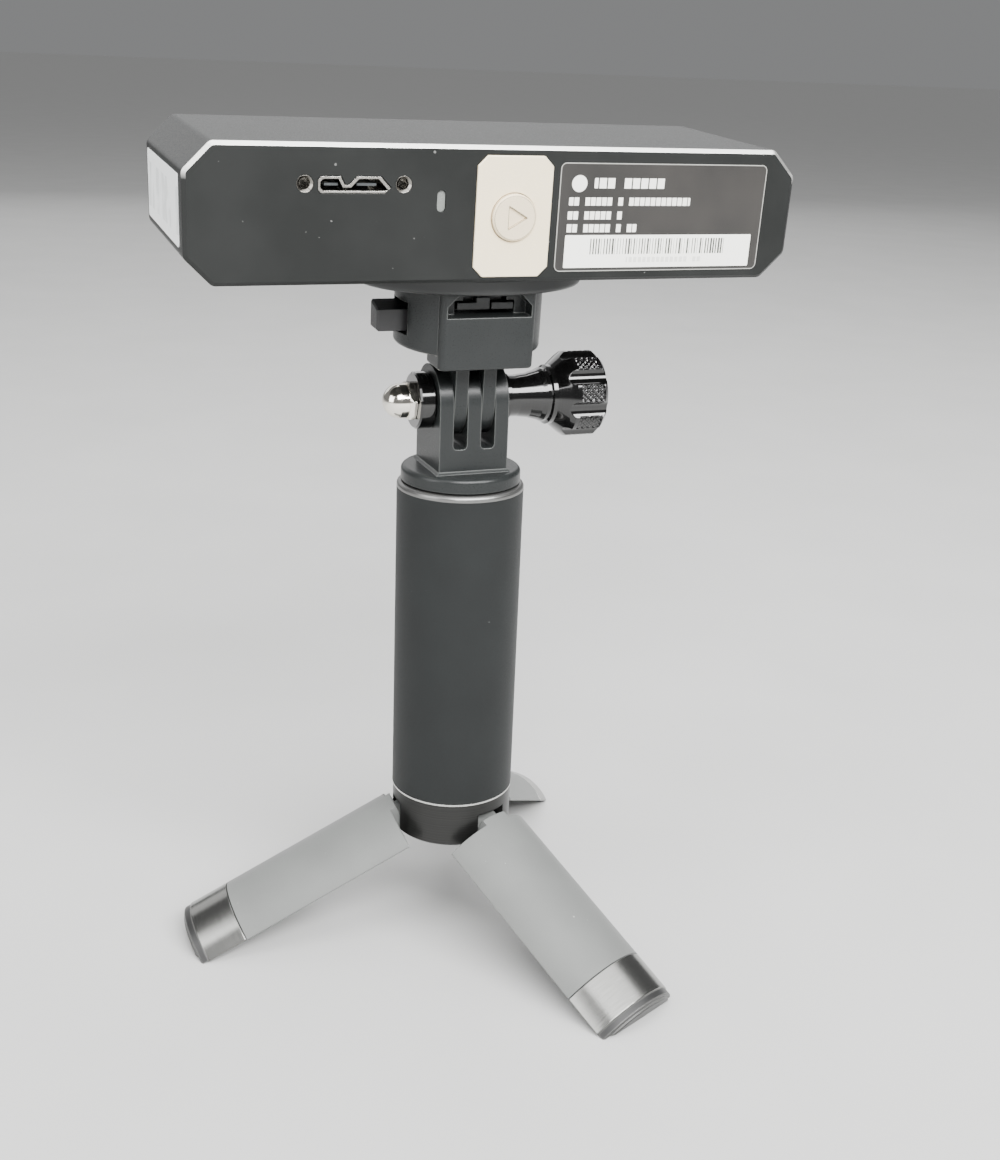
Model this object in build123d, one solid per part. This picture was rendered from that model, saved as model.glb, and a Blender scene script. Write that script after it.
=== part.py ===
from build123d import *
import math
import os

# Handheld structured-light scanner on its quick-release head and folding grip stand.
# Millimetres, +Z up, +Y the way the lenses look, -Y the button and socket side.
# The floor is z = 0 and the origin is the centre of the floor rectangle the part covers.

# ---- driving dimensions -------------------------------------------------------------
AXIS_X = 0.06            # the grip's axis, from the origin
AXIS_Y = 2.0

# scanner body
BODY_W = 121.0           # X
BODY_H = 25.0            # Z
BODY_D = 40.0            # Y
BODY_CHAMFER = 5.0       # the four long corners
BODY_CORNER_R = 1.6
BODY_BEVEL = 0.7         # bright bevel round both open ends
WALL = 2.0

# head geometry, measured from the tilt pivot
TILT = 3.75              # lenses look up by this much at rest
BODY_BOTTOM = 28.5       # underside of the scanner above the pivot
BODY_MID = BODY_BOTTOM + BODY_H / 2
BACK = -BODY_D / 2       # outer back face
FRONT = BODY_D / 2

# stand
GRIP_R = 13.56
HINGE_Z = 26.75
HINGE_R = 8.0            # hinge pins from the grip's axis
HUB_BOTTOM = HINGE_Z - 3.2
HUB_TOP = HINGE_Z + 6.8
GRIP_TOP = 104.75
PIVOT_Z = 122.4
CAP_BOTTOM = GRIP_TOP + 0.3
CAP_TOP = CAP_BOTTOM + 3.1

# legs
LEG_AZIMUTHS = {"left": 175.0, "front": -65.8, "rear": 54.75}
SPLAY = 62.7             # from straight down, open
LEG_HALF_ANGLE = 59.2    # each leg's share of the grip's circle, either side
LEG_START = 5.3          # end of the leg's skin below the hinge
LEG_END = 46.15          # joint between the leg and its metal tip
TIP_END = 55.5
FOOT_BAND_END = TIP_END + 1.7
FOOT_END = TIP_END + 2.3
SEAM = 0.25

# hinge details
PIN_R = 1.25
RUN = 0.04               # radial running clearance of a pin or screw
LUG_HALF = 3.3
LUG_R = 2.6
SLOT_HALF = 3.85

# clamp and three-prong mount
PRONG_R = 7.5
PRONG_HALF_W = 7.5
PRONG_GAP = (1.5, 4.5)   # both slots, from the middle
SLOT_DEPTH = 9.1         # slot floor below the pivot
MALE_R = 7.35
MALE_FINGER = (1.6, 4.4)
CLAMP_SCREW_R = 2.45

# quick release, heights above the pivot
PLATE_PAD_T = 0.8
PLATE_TOP = BODY_BOTTOM - PLATE_PAD_T
PLATE_BOTTOM = BODY_BOTTOM - 3.8
BASE_TOP = PLATE_BOTTOM - 0.15
DRUM_BOTTOM = 12.1
BASE_BOTTOM = 9.45
DRUM_R = 15.0
SLOT_FLOOR = 20.0
TRIPOD_R = 3.175         # quarter-inch tripod thread


# ---- helpers ------------------------------------------------------------------------
def block(x, y, z):
    """A box given by its low and high limits along each axis."""
    size = [high - low for low, high in (x, y, z)]
    middle = [(high + low) / 2 for low, high in (x, y, z)]
    return Pos(*middle) * Box(*size)


def rod_x(radius, x0, x1, y=0.0, z=0.0):
    return Pos((x0 + x1) / 2, y, z) * Rot(0, 90, 0) * Cylinder(radius, x1 - x0)


def rod_y(radius, y0, y1, x=0.0, z=0.0):
    return Pos(x, (y0 + y1) / 2, z) * Rot(90, 0, 0) * Cylinder(radius, y1 - y0)


def rod_z(radius, z0, z1, x=0.0, y=0.0):
    return Pos(x, y, (z0 + z1) / 2) * Cylinder(radius, z1 - z0)


def standing(face, y_back, y_front, x=0.0, z=0.0):
    """A flat outline drawn as seen from behind, made solid between two depths."""
    return Pos(x, y_front, z) * Rot(90, 0, 0) * extrude(face, amount=y_front - y_back)


def octagon(width, height, cut, radius=0.0):
    """A rectangle with its four corners cut at 45 degrees."""
    w, h = width / 2, height / 2
    points = [(w, h - cut), (w - cut, h), (cut - w, h), (-w, h - cut),
              (-w, cut - h), (cut - w, -h), (w - cut, -h), (w, cut - h)]
    face = make_face(Polyline(*points, close=True))
    return fillet(face.vertices(), radius) if radius else face


def body_outline(inset):
    """The scanner body's outline, moved in by an amount that is the same all round."""
    cut = BODY_CHAMFER - inset * (2 - math.sqrt(2))
    radius = max(BODY_CORNER_R - inset, 0.4)
    return octagon(BODY_W - 2 * inset, BODY_H - 2 * inset, cut, radius)


def turned(points, axis_location):
    """A solid of revolution about the local Z axis of a (radius, height) outline."""
    profile = make_face(Polyline(*[(r, 0, h) for r, h in points], close=True))
    return axis_location * revolve(profile, Axis.Z)


ALONG_X = Rot(0, 90, 0)
UPRIGHT = Pos(AXIS_X, AXIS_Y, 0)
AT_PIVOT = Pos(AXIS_X, AXIS_Y, PIVOT_Z)
HEAD = AT_PIVOT * Rot(TILT, 0, 0)
SCANNER = HEAD * Pos(0, 0, BODY_MID)


def leg_place(azimuth):
    """From a leg's own frame (hinge at the origin, leg hanging down) to its open place."""
    return UPRIGHT * Rot(0, 0, azimuth) * Pos(HINGE_R, 0, HINGE_Z) * Rot(0, -SPLAY, 0)


nodes = {}


def keep(name, shape, place):
    nodes[name] = place * shape


# ---- scanner body: coordinates from the middle of the body -----------------------------
LOW = -BODY_H / 2
PLATE_X, PLATE_Z = 0.6, -0.3          # silver plate and button
USB_X, USB_Z = -29.95, 5.3            # cable socket
LOCK_X = 9.1                          # its locking screws, either side
LED_X, LED_Z = -13.6, 2.5
LABEL_X, LABEL_Z = 31.75, -0.45
BUTTON_R = 4.4
PLATE_FACE = BACK - 0.35
INSIDE = BACK + WALL
BOARD = (-11.2, -9.6)                 # main board, back and front faces
BENCH = (8.0, 10.5)                   # optical bench
GLASS = (17.6, 18.9)


def usb_outline(grow):
    """The socket's two-lobed outline: notch between the lobes, pointed right end."""
    w, h = 6.7 + grow, 1.45 + grow
    points = [(-w, h - 0.55), (-w + 0.55, h), (-2.6 + grow, h), (-1.8 + grow, h - 1.5),
              (-1.1 - grow, h - 1.5), (0.4 - grow, h), (w - 1.9, h), (w, h - 2.0),
              (w - 1.15, -h), (-w + 0.55, -h), (-w, 0.55 - h)]
    return make_face(Polyline(*points, close=True))


def case_shell():
    shell = standing(body_outline(0), BACK, FRONT)
    shell = chamfer(shell.faces().sort_by(Axis.Y)[0].edges(), BODY_BEVEL)
    shell = chamfer(shell.faces().sort_by(Axis.Y)[-1].edges(), BODY_BEVEL)
    shell -= standing(body_outline(WALL), INSIDE, FRONT + 1)
    shell -= standing(octagon(15.1, 22.3, 1.9), BACK - 1, BACK + 0.4, PLATE_X, PLATE_Z)
    shell -= rod_y(BUTTON_R + 0.25, BACK - 1, INSIDE + 1, PLATE_X, PLATE_Z)
    shell -= standing(usb_outline(0.1), BACK - 1, INSIDE + 1, USB_X, USB_Z)
    for side in (-1, 1):
        shell -= rod_y(1.55, BACK - 1, INSIDE + 1, USB_X + side * LOCK_X, USB_Z + 0.15)
    shell -= standing(SlotOverall(3.9, 1.7, rotation=90), BACK - 1, INSIDE + 1, LED_X, LED_Z)
    shell -= rod_z(4.65, LOW - 1, LOW + WALL + 1)
    return shell


keep("case_shell", case_shell(), SCANNER)

# front bezel, dark glass and what looks through it
DEPTH_X = 46.0
PROJECTOR_X = 15.5
COLOUR_X = -14.0
FILL_X = (-29.5, 30.5)
WINDOWS = [(-DEPTH_X, 5.7), (DEPTH_X, 5.7), (PROJECTOR_X, 5.2), (COLOUR_X, 3.9)]

bezel = standing(body_outline(WALL + 0.08), 16.4, FRONT - 0.5)
bezel -= standing(body_outline(WALL + 1.5), GLASS[0], FRONT)
bezel -= standing(body_outline(WALL + 2.6), 16.0, GLASS[0] + 0.1)
keep("front_bezel", bezel, SCANNER)

glass = standing(body_outline(WALL + 1.56), *GLASS)
for window_x, window_r in WINDOWS:
    glass -= rod_y(window_r, 16, 20, window_x)
for fill_x in FILL_X:
    glass -= rod_y(2.6, 16, 20, fill_x)
keep("front_glass", glass, SCANNER)

bench = standing(body_outline(WALL + 0.3), *BENCH)
for window_x, window_r in WINDOWS:
    bench -= rod_y(window_r - 0.1, 7, 11, window_x)
for fill_x in FILL_X:
    bench -= rod_y(2.5, 7, 11, fill_x)
for stiff_x in (-22.0, 0.7, 37.5):
    bench -= standing(SlotOverall(12.0, 5.0, rotation=90), 7, 11, stiff_x)
keep("optical_bench", bench, SCANNER)


def camera_module(x, radius, width, back):
    """A square housing behind the bench with its round barrel through it."""
    shape = block((x - width / 2, x + width / 2), (back, BENCH[0]), (-6.6, 6.6))
    shape = chamfer(shape.edges().filter_by(Axis.Y), 1.0)
    shape += rod_y(radius - 0.3, BENCH[0], 18.6, x)
    shape -= turned([(0, 0), (radius - 1.7, 0), (radius - 1.0, 3.0), (0, 3.0)],
                    Pos(x, 15.8, 0) * Rot(-90, 0, 0))
    for ring in range(3):
        groove_y = 11.6 + 1.3 * ring
        shape -= (rod_y(radius, groove_y, groove_y + 0.5, x)
                  - rod_y(radius - 0.7, groove_y - 1, groove_y + 1, x))
    return shape


def lens(x, radius):
    """A domed lens seated in the bottom of its barrel's cup."""
    dome_r = radius * 1.6
    seat_y = 15.85
    sag = dome_r - math.sqrt(dome_r ** 2 - radius ** 2)
    dome = Pos(x, seat_y + 0.5 + sag - dome_r, 0) * Sphere(dome_r)
    return rod_y(radius, seat_y, seat_y + 4, x) & dome


keep("depth_camera_left", camera_module(-DEPTH_X, 5.7, 17.0, -3.0), SCANNER)
keep("depth_camera_right", camera_module(DEPTH_X, 5.7, 17.0, -3.0), SCANNER)
keep("projector", camera_module(PROJECTOR_X, 5.2, 19.0, -6.5), SCANNER)
keep("colour_camera", camera_module(COLOUR_X, 3.9, 11.0, 1.0), SCANNER)
keep("depth_lenses", Compound([lens(-DEPTH_X, 3.95), lens(DEPTH_X, 3.95)]), SCANNER)
keep("projector_lens", lens(PROJECTOR_X, 3.45), SCANNER)
keep("colour_lens", lens(COLOUR_X, 2.15), SCANNER)

lamps = []
for fill_x in FILL_X:
    lamp = block((fill_x - 3, fill_x + 3), (6.6, BENCH[0]), (-3, 3))
    lamp += rod_y(2.4, BENCH[0], 18.2, fill_x)
    lamps.append(lamp)
keep("fill_lights", Compound(lamps), SCANNER)

# electronics
board = standing(body_outline(WALL + 0.8), *BOARD)
SCREW_PLACES = [(x, z) for x in (-52.0, 52.0) for z in (-7.9, 7.9)]
for screw_x, screw_z in SCREW_PLACES:
    board -= rod_y(1.1, -12, -9, screw_x, screw_z)
keep("main_board", board, SCANNER)

chip = block((-38, -24), (BOARD[1], -8.3), (-7, 7))
chip = chamfer(chip.faces().sort_by(Axis.Y)[-1].edges(), 0.3)
keep("vision_processor", chip, SCANNER)

spreader = block((-40, -22), (-8.25, -4.4), (-8.5, 8.5))
for fin in range(6):
    fin_x = -38.6 + 3.0 * fin
    spreader -= block((fin_x, fin_x + 1.7), (-6.6, -4), (-9, 9))
keep("heat_spreader", spreader, SCANNER)

screws = []
for screw_x, screw_z in SCREW_PLACES:
    screw = rod_y(1.6, BOARD[0] - 1.3, BOARD[0], screw_x, screw_z)
    screw += rod_y(1.0, BOARD[0], BENCH[0] - 0.1, screw_x, screw_z)
    screw -= rod_y(0.7, BOARD[0] - 2, BOARD[0] - 0.6, screw_x, screw_z)
    screws.append(screw)
keep("board_screws", Compound(screws), SCANNER)

socket = standing(usb_outline(0.0), BACK + 0.1, BOARD[0], USB_X, USB_Z)
socket -= standing(usb_outline(-0.4), BACK - 1, -13.0, USB_X, USB_Z)
keep("usb_socket", socket, SCANNER)

tongue = block((USB_X - 5.4, USB_X - 2.9), (-19.0, -13.05), (USB_Z - 0.55, USB_Z + 0.2))
tongue += block((USB_X + 0.6, USB_X + 4.2), (-19.0, -13.05), (USB_Z - 0.55, USB_Z + 0.2))
tongue += block((USB_X - 5.4, USB_X + 4.2), (-13.7, -13.05), (USB_Z - 0.95, USB_Z - 0.5))
tongue -= block((USB_X - 6, USB_X + 5), (-20, -14.2), (USB_Z - 0.6, USB_Z - 0.25))
keep("usb_tongue", tongue, SCANNER)

LOCK_BORE_R = 1.0
inserts = []
for side in (-1, 1):
    lock_x, lock_z = USB_X + side * LOCK_X, USB_Z + 0.15
    insert = rod_y(1.5, BACK + 0.05, -15.4, lock_x, lock_z)
    insert -= turned([(0, -1), (1.45, -1), (1.45, 0), (LOCK_BORE_R, 0.45), (LOCK_BORE_R, 4.1), (0, 4.1)],
                     Pos(lock_x, BACK + 0.05, lock_z) * Rot(-90, 0, 0))
    inserts.append(insert)
keep("cable_lock_inserts", Compound(inserts), SCANNER)

light = standing(SlotOverall(3.8, 1.6, rotation=90), BACK + 0.35, BOARD[0], LED_X, LED_Z)
keep("status_light", light, SCANNER)

# silver plate and scan button
plate = standing(octagon(15.0, 22.2, 1.85, 0.35), PLATE_FACE, BACK + 0.4, PLATE_X, PLATE_Z)
plate = chamfer(plate.faces().sort_by(Axis.Y)[0].edges(), 0.12)
plate -= rod_y(BUTTON_R + 0.15, BACK - 1, BACK + 1, PLATE_X, PLATE_Z)
keep("button_plate", plate, SCANNER)

PLAY_SIDE = 4.3
BUTTON_FACE = PLATE_FACE - 0.8
BUTTON_TRAVEL = 0.5


def play_mark():
    """A triangle that points along +X, centred on the button's round."""
    half, nose = PLAY_SIDE / 2, PLAY_SIDE * 0.577
    points = [(-nose / 2, half), (-nose / 2, -half), (nose, 0)]
    return make_face(Polyline(*points, close=True))


button = rod_y(BUTTON_R, BUTTON_FACE, INSIDE + 0.1, PLATE_X, PLATE_Z)
button = chamfer(button.faces().sort_by(Axis.Y)[0].edges(), 0.35)
button -= standing(play_mark(), BUTTON_FACE - 1, BUTTON_FACE + 0.4, PLATE_X, PLATE_Z)
button += rod_y(BUTTON_R + 0.9, INSIDE + 0.1, INSIDE + 0.9, PLATE_X, PLATE_Z)
button += rod_y(2.0, INSIDE + 0.9, INSIDE + 1.2, PLATE_X, PLATE_Z)
keep("scan_button", button, SCANNER)

switch = block((PLATE_X - 3, PLATE_X + 3), (-14.6, BOARD[0]), (PLATE_Z - 3, PLATE_Z + 3))
switch = chamfer(switch.edges().filter_by(Axis.Y), 0.5)
switch += rod_y(1.7, INSIDE + 1.2 + BUTTON_TRAVEL + 0.05, -14.6, PLATE_X, PLATE_Z)
keep("button_switch", switch, SCANNER)

# films and stickers
film = standing(RectangleRounded(44.2, 20.3, 1.2), BACK - 0.12, BACK, LABEL_X, LABEL_Z)
keep("rating_label", film, SCANNER)
strip = standing(RectangleRounded(40.4, 6.2, 0.2), BACK - 0.2, BACK - 0.12, 31.7, -6.8)
keep("barcode_strip", strip, SCANNER)
end_face = -BODY_W / 2
sticker = block((end_face - 0.12, end_face), (BACK + 4.0, FRONT - 2.2), (-6.3, 6.4))
sticker = fillet(sticker.edges().filter_by(Axis.X), 0.5)
keep("end_label", sticker, SCANNER)

# tripod insert, in head coordinates from here on
insert = rod_z(4.6, BODY_BOTTOM, BODY_BOTTOM + 5.6)
insert += rod_z(6.0, BODY_BOTTOM + WALL, BODY_BOTTOM + WALL + 1.2)
insert -= rod_z(TRIPOD_R + RUN, BODY_BOTTOM - 1, BODY_BOTTOM + 5.0)
keep("tripod_insert", insert, HEAD)

# ---- quick release ----------------------------------------------------------------------
PLATE_HALF = (23.6, 15.6)


def oval(half_x, half_y, z0, z1):
    return Pos(0, 0, z0) * extrude(Ellipse(half_x, half_y), amount=z1 - z0)


pad = oval(PLATE_HALF[0] - 0.8, PLATE_HALF[1] - 0.8, PLATE_TOP, BODY_BOTTOM)
pad -= rod_z(4.9, PLATE_TOP - 1, BODY_BOTTOM + 1)
keep("plate_pad", pad, HEAD)

TONGUE_Y = (-10.0, 12.5)
TONGUE_FOOT = (21.0, 22.4)
mount_plate = oval(*PLATE_HALF, PLATE_BOTTOM, PLATE_TOP)
mount_plate = fillet(mount_plate.faces().sort_by(Axis.Z)[0].edges(), 0.9)
mount_plate += block((-4.2, 4.2), (TONGUE_Y[0] + 2.0, TONGUE_Y[1]), (TONGUE_FOOT[1], PLATE_BOTTOM))
mount_plate += block((-5.9, 5.9), TONGUE_Y, TONGUE_FOOT)
mount_plate += block((-1.9, 0.9), (TONGUE_Y[0], -7.0), (TONGUE_FOOT[0], TONGUE_FOOT[1] + 1.0))
mount_plate -= block((0.9, 1.3), (TONGUE_Y[0] - 1, -7.0), (TONGUE_FOOT[0] - 1, PLATE_BOTTOM - 0.4))
mount_plate -= rod_z(TRIPOD_R + 0.2, 20, 29)
mount_plate -= rod_z(5.05, 20, TONGUE_FOOT[1] + 0.4)
keep("mount_plate", mount_plate, HEAD)

camera_screw = rod_z(4.9, TONGUE_FOOT[0] + 0.1, TONGUE_FOOT[1] + 0.3)
camera_screw += rod_z(TRIPOD_R, TONGUE_FOOT[1] + 0.3, BODY_BOTTOM + 4.6)
camera_screw -= block((-5, 5), (-0.6, 0.6), (20, TONGUE_FOOT[0] + 0.8))
keep("camera_screw", camera_screw, HEAD)

RAIL_FRONT = -9.5
MOUTH_FRONT = -13.0
SLIDE_Y = 30.0


def release_base():
    drum = rod_z(DRUM_R, DRUM_BOTTOM, BASE_TOP)
    drum = fillet(drum.faces().sort_by(Axis.Z)[0].edges(), 0.6)
    drum -= block((-16, 16), (-16, MOUTH_FRONT), (0, 40))
    nose = block((-10, 10), (MOUTH_FRONT, -5), (BASE_BOTTOM, BASE_TOP))
    nose = fillet(nose.edges().filter_by(Axis.Z).sort_by(Axis.Y)[:2], 1.5)
    nose = fillet(nose.faces().sort_by(Axis.Z)[0].edges(), 0.5)
    base = drum + nose + block((-7.5, 7.5), (-6, 8.5), (BASE_BOTTOM, DRUM_BOTTOM + 1))
    # two fingers that hang down into the mount's slots
    for side in (-1, 1):
        near, far = sorted((side * MALE_FINGER[0], side * MALE_FINGER[1]))
        base += block((near, far), (-MALE_R, MALE_R), (0, BASE_BOTTOM + 1)) + rod_x(MALE_R, near, far)
    base -= rod_x(CLAMP_SCREW_R + 0.1, -9, 9)
    # flared mouth at the back, then the T-shaped rails
    mouth = make_face(Polyline((-6.6, 26), (-6.6, 24.4), (-8.8, 22.2), (-8.8, SLOT_FLOOR),
                               (8.8, SLOT_FLOOR), (8.8, 22.2), (6.6, 24.4), (6.6, 26), close=True))
    base -= standing(mouth, MOUTH_FRONT - 1, RAIL_FRONT)
    base -= block((-4.6, 4.6), (RAIL_FRONT - 1, 16), (SLOT_FLOOR, 26))
    base -= block((-6.3, 6.3), (RAIL_FRONT - 1, 16), (SLOT_FLOOR, TONGUE_FOOT[1] + 0.3))
    base -= block((-4.6, 4.6), (12.6, 16), (SLOT_FLOOR, 26))
    # pocket for the release button and the channel for its latch
    base -= block((-20, -10.3), (-4.6, 3.0), (14.8, 21.4))
    base -= block((-13, 11.2), (-1.9, 1.9), (15.7, 18.9))
    base -= block((6.2, 11.2), (-1.9, 1.9), (18.5, 22.8))
    base -= rod_x(1.5, 10, 13.6, z=17.3)
    return base


keep("release_base", release_base(), HEAD)

RELEASE_TRAVEL = 2.0
side_view = make_face(Polyline((2.3, 15.3), (2.3, 20.8), (-2.5, 19.65), (-2.5, 15.3), close=True))
release_button = Pos(-19.9, 0, 0) * extrude(Plane.YZ * side_view, amount=7.3)
release_button = chamfer(release_button.faces().sort_by(Axis.X)[0].edges(), 0.35)
keep("release_button", release_button, HEAD)

latch = block((-12.6, 8.6), (-1.6, 1.6), (16.0, 18.6))
latch += block((6.7, 8.6), (-1.6, 1.6), (16.0, 22.2))
latch = chamfer(latch.faces().sort_by(Axis.Z)[-1].edges(), 0.3)
keep("latch_bar", latch, HEAD)

SPRING_WIRE = 0.16
SPRING_R = 1.1
SPRING_X = (8.65, 13.5)
coil = Helix(pitch=0.95, height=SPRING_X[1] - SPRING_X[0] - 2 * SPRING_WIRE, radius=SPRING_R)
wire = Plane(origin=coil @ 0, z_dir=coil % 0) * Circle(SPRING_WIRE)
spring = sweep(wire, path=coil, is_frenet=True)
keep("release_spring", Pos(SPRING_X[0] + SPRING_WIRE, 0, 17.3) * ALONG_X * spring, HEAD)

# ---- clamp: screw, knob, nut ---------------------------------------------------------------
clamp_screw = rod_x(CLAMP_SCREW_R, -14.0, 22.0)
clamp_screw = chamfer(clamp_screw.faces().sort_by(Axis.X)[0].edges(), 0.5)
keep("clamp_screw", clamp_screw, HEAD)

KNOB_R = 9.0
KNOB_X = (20.8, 29.7)
KNOB_LOBES = 8
KNOB_PHASE = 15.0


def clamp_knob():
    outline = [(CLAMP_SCREW_R + 0.01, 8.0), (5.0, 8.0), (5.0, 9.3), (4.45, 9.5), (4.4, 11.5),
               (4.7, 14.0), (5.3, 16.3), (5.7, 17.2), (5.7, 18.0), (6.3, 18.3), (6.3, 19.2),
               (8.3, 21.6), (KNOB_R, 22.6), (KNOB_R, 28.9), (8.2, KNOB_X[1]), (6.2, KNOB_X[1]),
               (5.6, 28.9), (0, 28.9), (0, 22.05), (CLAMP_SCREW_R + 0.01, 22.05)]
    knob = turned(outline, ALONG_X)
    for lobe in range(KNOB_LOBES):
        angle = math.radians(KNOB_PHASE + 360 / KNOB_LOBES * (lobe + 0.5))
        y, z = -10.1 * math.cos(angle), 10.1 * math.sin(angle)
        knob -= rod_x(2.15, KNOB_X[0] - 2, KNOB_X[1] + 1, y, z)
    return knob


keep("clamp_knob", clamp_knob(), HEAD)

collar = turned([(CLAMP_SCREW_R + 0.15, -11.0), (5.55, -11.0), (5.9, -10.65), (5.9, -7.9),
                 (5.55, -7.55), (CLAMP_SCREW_R + 0.15, -7.55)], ALONG_X)
keep("nut_collar", collar, AT_PIVOT)

DOME_R = 3.6
DOME_CENTRE = -13.8
NUT_X = (-12.6, -11.05)
NUT_CORNER_R = 4.35
NUT_TURN = 8.0           # one corner of the hexagon sits this far below the back
hexagon = Rot(0, 0, NUT_TURN + 90) * RegularPolygon(NUT_CORNER_R, 6)
hexagon = Pos(NUT_X[1], 0, 0) * Rot(0, -90, 0) * extrude(hexagon, amount=NUT_X[1] - NUT_X[0])
nut = hexagon & turned([(0, NUT_X[0]), (3.9, NUT_X[0]), (4.4, NUT_X[0] + 0.45), (4.4, NUT_X[1] - 0.35),
                        (4.0, NUT_X[1]), (0, NUT_X[1])], ALONG_X)
nut += rod_x(DOME_R, DOME_CENTRE - 0.5, NUT_X[0] + 0.3)
nut += Pos(DOME_CENTRE, 0, 0) * Sphere(DOME_R) - block((DOME_CENTRE - 0.1, 0), (-5, 5), (-5, 5))
nut -= rod_x(CLAMP_SCREW_R + RUN, -14.4, -9)
keep("acorn_nut", nut, AT_PIVOT)

# ---- three-prong mount, measured from the pivot -----------------------------------------------
MOUNT_CAP_R = 12.72


def finger_mount():
    low, top = CAP_BOTTOM - PIVOT_Z, CAP_TOP - PIVOT_Z
    cap = rod_z(MOUNT_CAP_R, low, top)
    cap = fillet(cap.faces().sort_by(Axis.Z)[-1].edges(), 1.0)
    cap = fillet(cap.faces().sort_by(Axis.Z)[0].edges(), 0.2)
    plinth = block((-8.1, 8.1), (-8.1, 8.1), (top - 0.2, top + 0.45))
    plinth = chamfer(plinth.faces().sort_by(Axis.Z)[-1].edges(), 0.4)
    body = block((-PRONG_HALF_W, PRONG_HALF_W), (-PRONG_R, PRONG_R), (top, 0))
    body += rod_x(PRONG_R, -PRONG_HALF_W, PRONG_HALF_W)
    cut = PRONG_R + 2
    for side in (-1, 1):
        near, far = sorted((side * PRONG_GAP[0], side * PRONG_GAP[1]))
        gap = block((near, far), (-cut, cut), (-SLOT_DEPTH, cut))
        body -= fillet(gap.faces().sort_by(Axis.Z)[0].edges().filter_by(Axis.Y), 0.9)
    mount = body + plinth + cap
    mount -= rod_x(CLAMP_SCREW_R + 0.1, -10, 10)
    mount -= rod_z(4.65, low - 1, low + 7.6)
    return mount


keep("finger_mount", finger_mount(), AT_PIVOT)

thread_insert = rod_z(4.6, CAP_BOTTOM + 0.2, CAP_BOTTOM + 7.5)
thread_insert -= rod_z(TRIPOD_R + RUN, CAP_BOTTOM - 1, CAP_BOTTOM + 7.0)
keep("mount_insert", thread_insert, UPRIGHT)

washer = rod_z(11.5, GRIP_TOP + 0.05, CAP_BOTTOM) - rod_z(5.0, GRIP_TOP - 1, CAP_BOTTOM + 1)
keep("pan_washer", washer, UPRIGHT)

# ---- grip ----------------------------------------------------------------------------------
CORE_R = 11.8
CORE_BORE_R = 8.5
RING_TOP = HUB_TOP + 0.4
PLUG_BOTTOM = GRIP_TOP - 1.3

sleeve = rod_z(GRIP_R, RING_TOP, PLUG_BOTTOM) - rod_z(CORE_R, 0, 200)
sleeve = chamfer(sleeve.faces().sort_by(Axis.Z)[0].edges().sort_by(SortBy.LENGTH)[-1], 0.15)
keep("grip_sleeve", sleeve, UPRIGHT)
keep("grip_tube", rod_z(CORE_R, RING_TOP, PLUG_BOTTOM) - rod_z(CORE_BORE_R, 0, 200), UPRIGHT)

ring = rod_z(GRIP_R + 0.04, HUB_TOP, RING_TOP) - rod_z(CORE_BORE_R, 0, 200)
keep("trim_ring", ring, UPRIGHT)

plug = rod_z(GRIP_R, PLUG_BOTTOM, GRIP_TOP)
plug = fillet(plug.faces().sort_by(Axis.Z)[-1].edges(), 0.9)
plug += rod_z(CORE_BORE_R - 0.05, PLUG_BOTTOM - 8, PLUG_BOTTOM)
plug -= rod_z(TRIPOD_R, 90, 120)
keep("top_plug", plug, UPRIGHT)

stud = rod_z(TRIPOD_R, PLUG_BOTTOM - 7, CAP_BOTTOM + 6.5)
stud = chamfer(stud.faces().sort_by(Axis.Z)[-1].edges(), 0.6)
keep("mount_stud", stud, UPRIGHT)

# ---- leg hub ---------------------------------------------------------------------------------
HUB_R = 13.4
RETAINER_R = 10.7
SLOT_TOP = HINGE_Z + 3.9
SLOT_INNER = 4.6
PIN_HALF = 6.0


def at_each_leg(shape):
    """One copy of a shape, drawn for azimuth 0, for each of the three legs."""
    return [Rot(0, 0, azimuth) * shape for azimuth in LEG_AZIMUTHS.values()]


slot = block((SLOT_INNER, GRIP_R + 2), (-SLOT_HALF, SLOT_HALF), (HUB_BOTTOM - 1, SLOT_TOP))
pin = rod_y(PIN_R, -PIN_HALF, PIN_HALF, HINGE_R, HINGE_Z)
groove = rod_y(PIN_R + 0.02, -PIN_HALF - 0.1, PIN_HALF + 0.1, HINGE_R, HINGE_Z)

hub = rod_z(HUB_R, HUB_BOTTOM, HUB_TOP)
hub = chamfer(hub.faces().sort_by(Axis.Z)[0].edges(), 0.5)
hub += rod_z(CORE_BORE_R - 0.05, HUB_TOP, HUB_TOP + 6)
hub -= rod_z(RETAINER_R + 0.15, HUB_BOTTOM - 1, HINGE_Z)
for cut in at_each_leg(slot) + at_each_leg(groove):
    hub -= cut
hub -= rod_z(2.03, HINGE_Z - 1, HUB_TOP + 5)
keep("leg_hub", hub, UPRIGHT)

retainer = rod_z(RETAINER_R, HUB_BOTTOM + 0.3, HINGE_Z - 0.02)
retainer = chamfer(retainer.faces().sort_by(Axis.Z)[0].edges(), 0.3)
for cut in at_each_leg(slot) + at_each_leg(groove):
    retainer -= cut
retainer -= rod_z(2.1, 0, 40) + rod_z(3.7, 0, HUB_BOTTOM + 1.9)
keep("pin_retainer", retainer, UPRIGHT)

bolt = rod_z(3.5, HUB_BOTTOM + 0.4, HUB_BOTTOM + 1.9) + rod_z(2.0, HUB_BOTTOM + 1.9, HUB_TOP + 4)
bolt -= Pos(0, 0, HUB_BOTTOM) * extrude(RegularPolygon(1.5, 6), amount=1.4)
keep("retainer_screw", bolt, UPRIGHT)
keep("hinge_pins", Compound(at_each_leg(pin)), UPRIGHT)


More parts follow.
